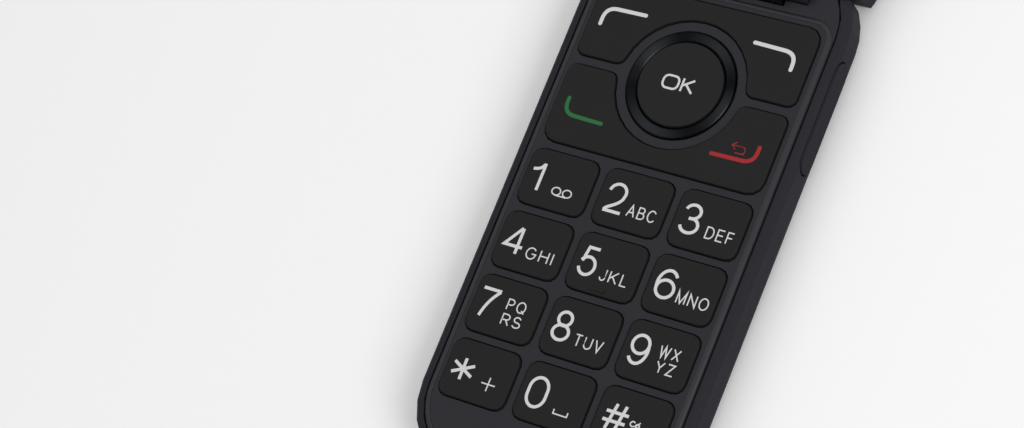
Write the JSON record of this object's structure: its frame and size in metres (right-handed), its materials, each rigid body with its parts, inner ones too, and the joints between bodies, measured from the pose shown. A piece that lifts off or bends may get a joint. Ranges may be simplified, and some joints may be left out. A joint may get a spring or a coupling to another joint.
{
  "type": "flip phone",
  "caption": "Open flip phone with a raised key deck, large number keys, round navigation ring, side volume key and a lid on a central barrel hinge.",
  "frame": {"origin": "on the flat back face of the base, under the middle of its width", "axes": "+X to the side with the volume key, +Y towards the hinge and the lid, +Z out of the keypad"},
  "size_m": [0.0549, 0.2129, 0.0283],
  "materials": {
    "shell": "satin moulded",
    "keys": "fine matte",
    "ring": "dark turned",
    "gloss": "glossy",
    "rubber": "soft",
    "metal": "nickel plated",
    "board": "solder resist",
    "inner": "moulded",
    "battery": "sleeved",
    "flex": "film",
    "window": "polished",
    "display": "glossy",
    "flash": "frosted"
  },
  "bodies": {
    "base": {"rear_housing": "shell", "front_cover": "shell", "battery_cover": "shell", "battery": "battery", "battery_contacts": "inner", "main_board": "board", "dome_sheet": "metal", "keypad_mat": "rubber", "volume_switch_strip": "board", "loudspeaker": "metal", "sim_holder": "metal", "vibration_motor": "metal", "microphone": "metal", "antenna_carrier": "inner", "charging_port": "metal"},
    "lid": {"hinge_barrel": "gloss", "hinge_cam_module": "metal", "hinge_bush": "metal", "display_flex_roll": "flex", "lid_outer_cover": "shell", "lid_inner_frame": "shell", "screen_window": "window", "main_display": "display", "lid_board": "board", "outer_window": "window", "outer_display": "display", "camera_ring": "ring", "camera_window": "window", "camera_module": "inner", "flash_window": "flash", "earpiece": "metal", "earpiece_mesh": "metal", "lid_magnet": "metal", "lid_bumper_left": "rubber", "lid_bumper_right": "rubber"},
    "key_1": {"key_1": "keys"},
    "key_2": {"key_2": "keys"},
    "key_3": {"key_3": "keys"},
    "key_4": {"key_4": "keys"},
    "key_5": {"key_5": "keys"},
    "key_6": {"key_6": "keys"},
    "key_7": {"key_7": "keys"},
    "key_8": {"key_8": "keys"},
    "key_9": {"key_9": "keys"},
    "key_star": {"key_star": "keys"},
    "key_0": {"key_0": "keys"},
    "key_hash": {"key_hash": "keys"},
    "upper_plate": {"upper_plate": "keys"},
    "lower_plate": {"lower_plate": "keys"},
    "nav_carrier": {"nav_carrier": "inner"},
    "nav_ring": {"nav_ring": "ring"},
    "ok_key": {"ok_key": "keys"},
    "volume_key": {"volume_key": "keys"}
  },
  "joints": [
    {"name": "lid_hinge", "type": "hinge", "parent": "base", "child": "lid", "pos_m": [0, 0.0514, 0.01015], "axis": [1, 0, 0], "range_deg": [0, 170]},
    {"name": "key_1_press", "type": "slide", "parent": "base", "child": "key_1", "axis": [0, 0, -1], "range_m": [0, 0.00035], "stiffness_N_per_m": 1500},
    {"name": "key_2_press", "type": "slide", "parent": "base", "child": "key_2", "axis": [0, 0, -1], "range_m": [0, 0.00035], "stiffness_N_per_m": 1500},
    {"name": "key_3_press", "type": "slide", "parent": "base", "child": "key_3", "axis": [0, 0, -1], "range_m": [0, 0.00035], "stiffness_N_per_m": 1500},
    {"name": "key_4_press", "type": "slide", "parent": "base", "child": "key_4", "axis": [0, 0, -1], "range_m": [0, 0.00035], "stiffness_N_per_m": 1500},
    {"name": "key_5_press", "type": "slide", "parent": "base", "child": "key_5", "axis": [0, 0, -1], "range_m": [0, 0.00035], "stiffness_N_per_m": 1500},
    {"name": "key_6_press", "type": "slide", "parent": "base", "child": "key_6", "axis": [0, 0, -1], "range_m": [0, 0.00035], "stiffness_N_per_m": 1500},
    {"name": "key_7_press", "type": "slide", "parent": "base", "child": "key_7", "axis": [0, 0, -1], "range_m": [0, 0.00035], "stiffness_N_per_m": 1500},
    {"name": "key_8_press", "type": "slide", "parent": "base", "child": "key_8", "axis": [0, 0, -1], "range_m": [0, 0.00035], "stiffness_N_per_m": 1500},
    {"name": "key_9_press", "type": "slide", "parent": "base", "child": "key_9", "axis": [0, 0, -1], "range_m": [0, 0.00035], "stiffness_N_per_m": 1500},
    {"name": "key_star_press", "type": "slide", "parent": "base", "child": "key_star", "axis": [0, 0, -1], "range_m": [0, 0.00035], "stiffness_N_per_m": 1500},
    {"name": "key_0_press", "type": "slide", "parent": "base", "child": "key_0", "axis": [0, 0, -1], "range_m": [0, 0.00035], "stiffness_N_per_m": 1500},
    {"name": "key_hash_press", "type": "slide", "parent": "base", "child": "key_hash", "axis": [0, 0, -1], "range_m": [0, 0.00035], "stiffness_N_per_m": 1500},
    {"name": "ok_key_press", "type": "slide", "parent": "base", "child": "ok_key", "axis": [0, 0, -1], "range_m": [0, 0.0003], "stiffness_N_per_m": 1500},
    {"name": "upper_plate_rock", "type": "hinge", "parent": "base", "child": "upper_plate", "pos_m": [0, 0.03585, 0.0084], "axis": [0, 1, 0], "range_deg": [-0.7, 0.7], "stiffness_Nm_per_rad": 1},
    {"name": "lower_plate_rock", "type": "hinge", "parent": "base", "child": "lower_plate", "pos_m": [0, 0.01808, 0.0084], "axis": [0, 1, 0], "range_deg": [-0.7, 0.7], "stiffness_Nm_per_rad": 1},
    {"name": "nav_tilt_up_down", "type": "hinge", "parent": "base", "child": "nav_carrier", "pos_m": [0, 0.02695, 0.00765], "axis": [1, 0, 0], "range_deg": [-1.1, 1.1], "stiffness_Nm_per_rad": 1},
    {"name": "nav_tilt_left_right", "type": "hinge", "parent": "nav_carrier", "child": "nav_ring", "pos_m": [0, 0.02695, 0.0084], "axis": [0, 1, 0], "range_deg": [-1.1, 1.1], "stiffness_Nm_per_rad": 1},
    {"name": "volume_rock", "type": "hinge", "parent": "base", "child": "volume_key", "pos_m": [0.0256, 0.02875, 0.0063], "axis": [0, 0, 1], "range_deg": [-1.2, 1.2], "stiffness_Nm_per_rad": 1}
  ]
}
